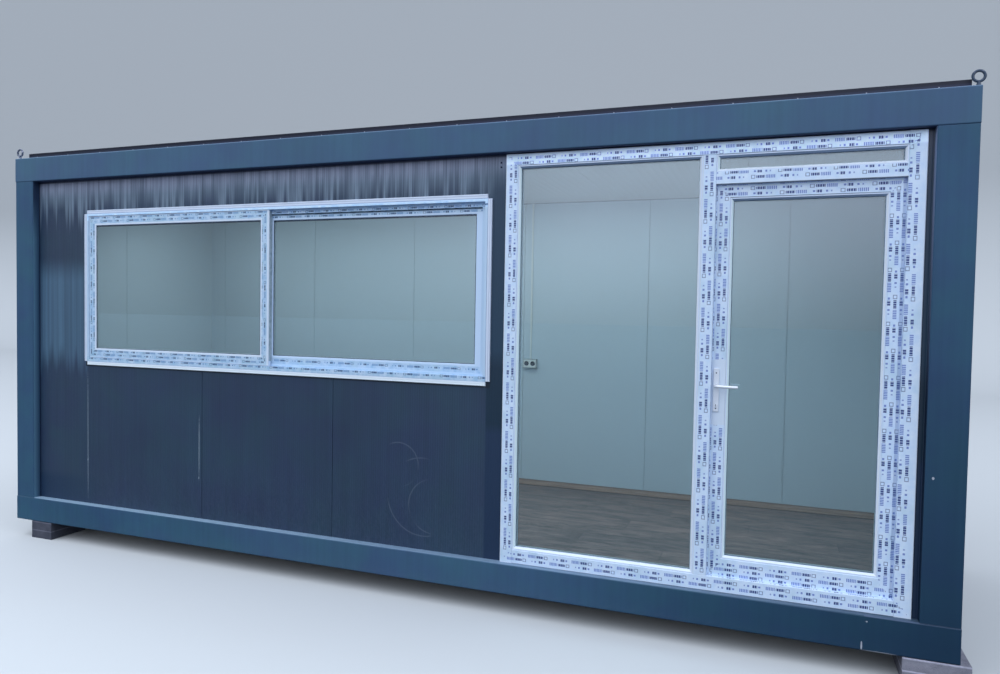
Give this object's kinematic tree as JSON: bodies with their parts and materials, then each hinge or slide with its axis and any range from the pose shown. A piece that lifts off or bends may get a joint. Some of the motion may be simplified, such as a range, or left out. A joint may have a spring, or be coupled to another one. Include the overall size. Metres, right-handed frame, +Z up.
{
  "type": "portable site cabin",
  "caption": "Portable site cabin: steel frame, flat panel walls, a wide sliding window and a glazed door set whose leaf opens inwards with a lever handle.",
  "frame": {"origin": "centre of the base, on the ground under the support slabs", "axes": "+Z up, +X to the right along the front as seen from outside, +Y from the front to the back"},
  "size_m": [6.094, 2, 2.8107],
  "materials": {
    "frame_paint": "satin blue paint",
    "eye_steel": "grey paint",
    "concrete": "rough",
    "timber": "sawn",
    "laminate": "satin",
    "skirting": "satin",
    "wall_skin": "satin blue coating, fine ribs",
    "ceiling_skin": "satin white coating",
    "roof_zinc": "grey coating",
    "roof_trim": "dark coating",
    "white_strip": "white",
    "window_pvc": "white under protective film",
    "door_pvc": "white under protective film",
    "bead_pvc": "white",
    "glass": "clear double glazing",
    "handle_metal": "satin",
    "lock_steel": "brushed",
    "hinge_metal": "white coating",
    "socket_plastic": "white"
  },
  "bodies": {
    "cabin": {"bottom_long_rails": "frame_paint", "bottom_end_rails": "frame_paint", "top_long_rails": "frame_paint", "top_end_rails": "frame_paint", "corner_posts": "frame_paint", "lifting_eyes": "eye_steel", "support_slabs_lower": "concrete", "support_slabs_upper": "concrete", "floor_joists": "timber", "floor_deck": "timber", "laminate_floor": "laminate", "skirting": "skirting", "front_wall_left": "wall_skin", "front_wall_below_window": "wall_skin", "front_wall_above_window": "wall_skin", "front_wall_strips": "wall_skin", "back_wall": "wall_skin", "end_walls": "wall_skin", "ceiling_panels": "ceiling_skin", "roof_sheet": "roof_zinc", "roof_edge_trim": "roof_trim", "roof_end_trim": "roof_trim", "window_cover_strips": "white_strip", "window_frame": "window_pvc", "window_sash_left": "window_pvc", "window_sash_right": "window_pvc", "door_jamb_left": "door_pvc", "door_jamb_right": "door_pvc", "door_head": "door_pvc", "door_sill": "door_pvc", "door_mullion": "door_pvc", "door_transom": "door_pvc", "side_light_beads": "bead_pvc", "toplight_beads": "bead_pvc", "window_glass": "glass", "fixed_glass": "glass", "lock_keep": "lock_steel", "hinge_frame_parts": "hinge_metal", "double_socket": "socket_plastic", "socket_trunking": "socket_plastic"},
    "leaf": {"door_leaf": "door_pvc", "lock_faceplate": "lock_steel", "leaf_beads": "bead_pvc", "door_glass": "glass", "handle_plates": "handle_metal", "hinge_leaf_parts": "hinge_metal"},
    "handle": {"door_handle": "handle_metal"}
  },
  "joints": [
    {"name": "door_hinge", "type": "hinge", "parent": "cabin", "child": "leaf", "pos_m": [2.759, -0.879, 1.3], "axis": [0, 0, -1], "range_deg": [0, 90]},
    {"name": "lever_turn", "type": "hinge", "parent": "leaf", "child": "handle", "pos_m": [1.896, -0.911, 1.337], "axis": [0, 1, 0], "range_deg": [0, 40], "stiffness_Nm_per_rad": 2, "springref_deg": -34.38}
  ]
}
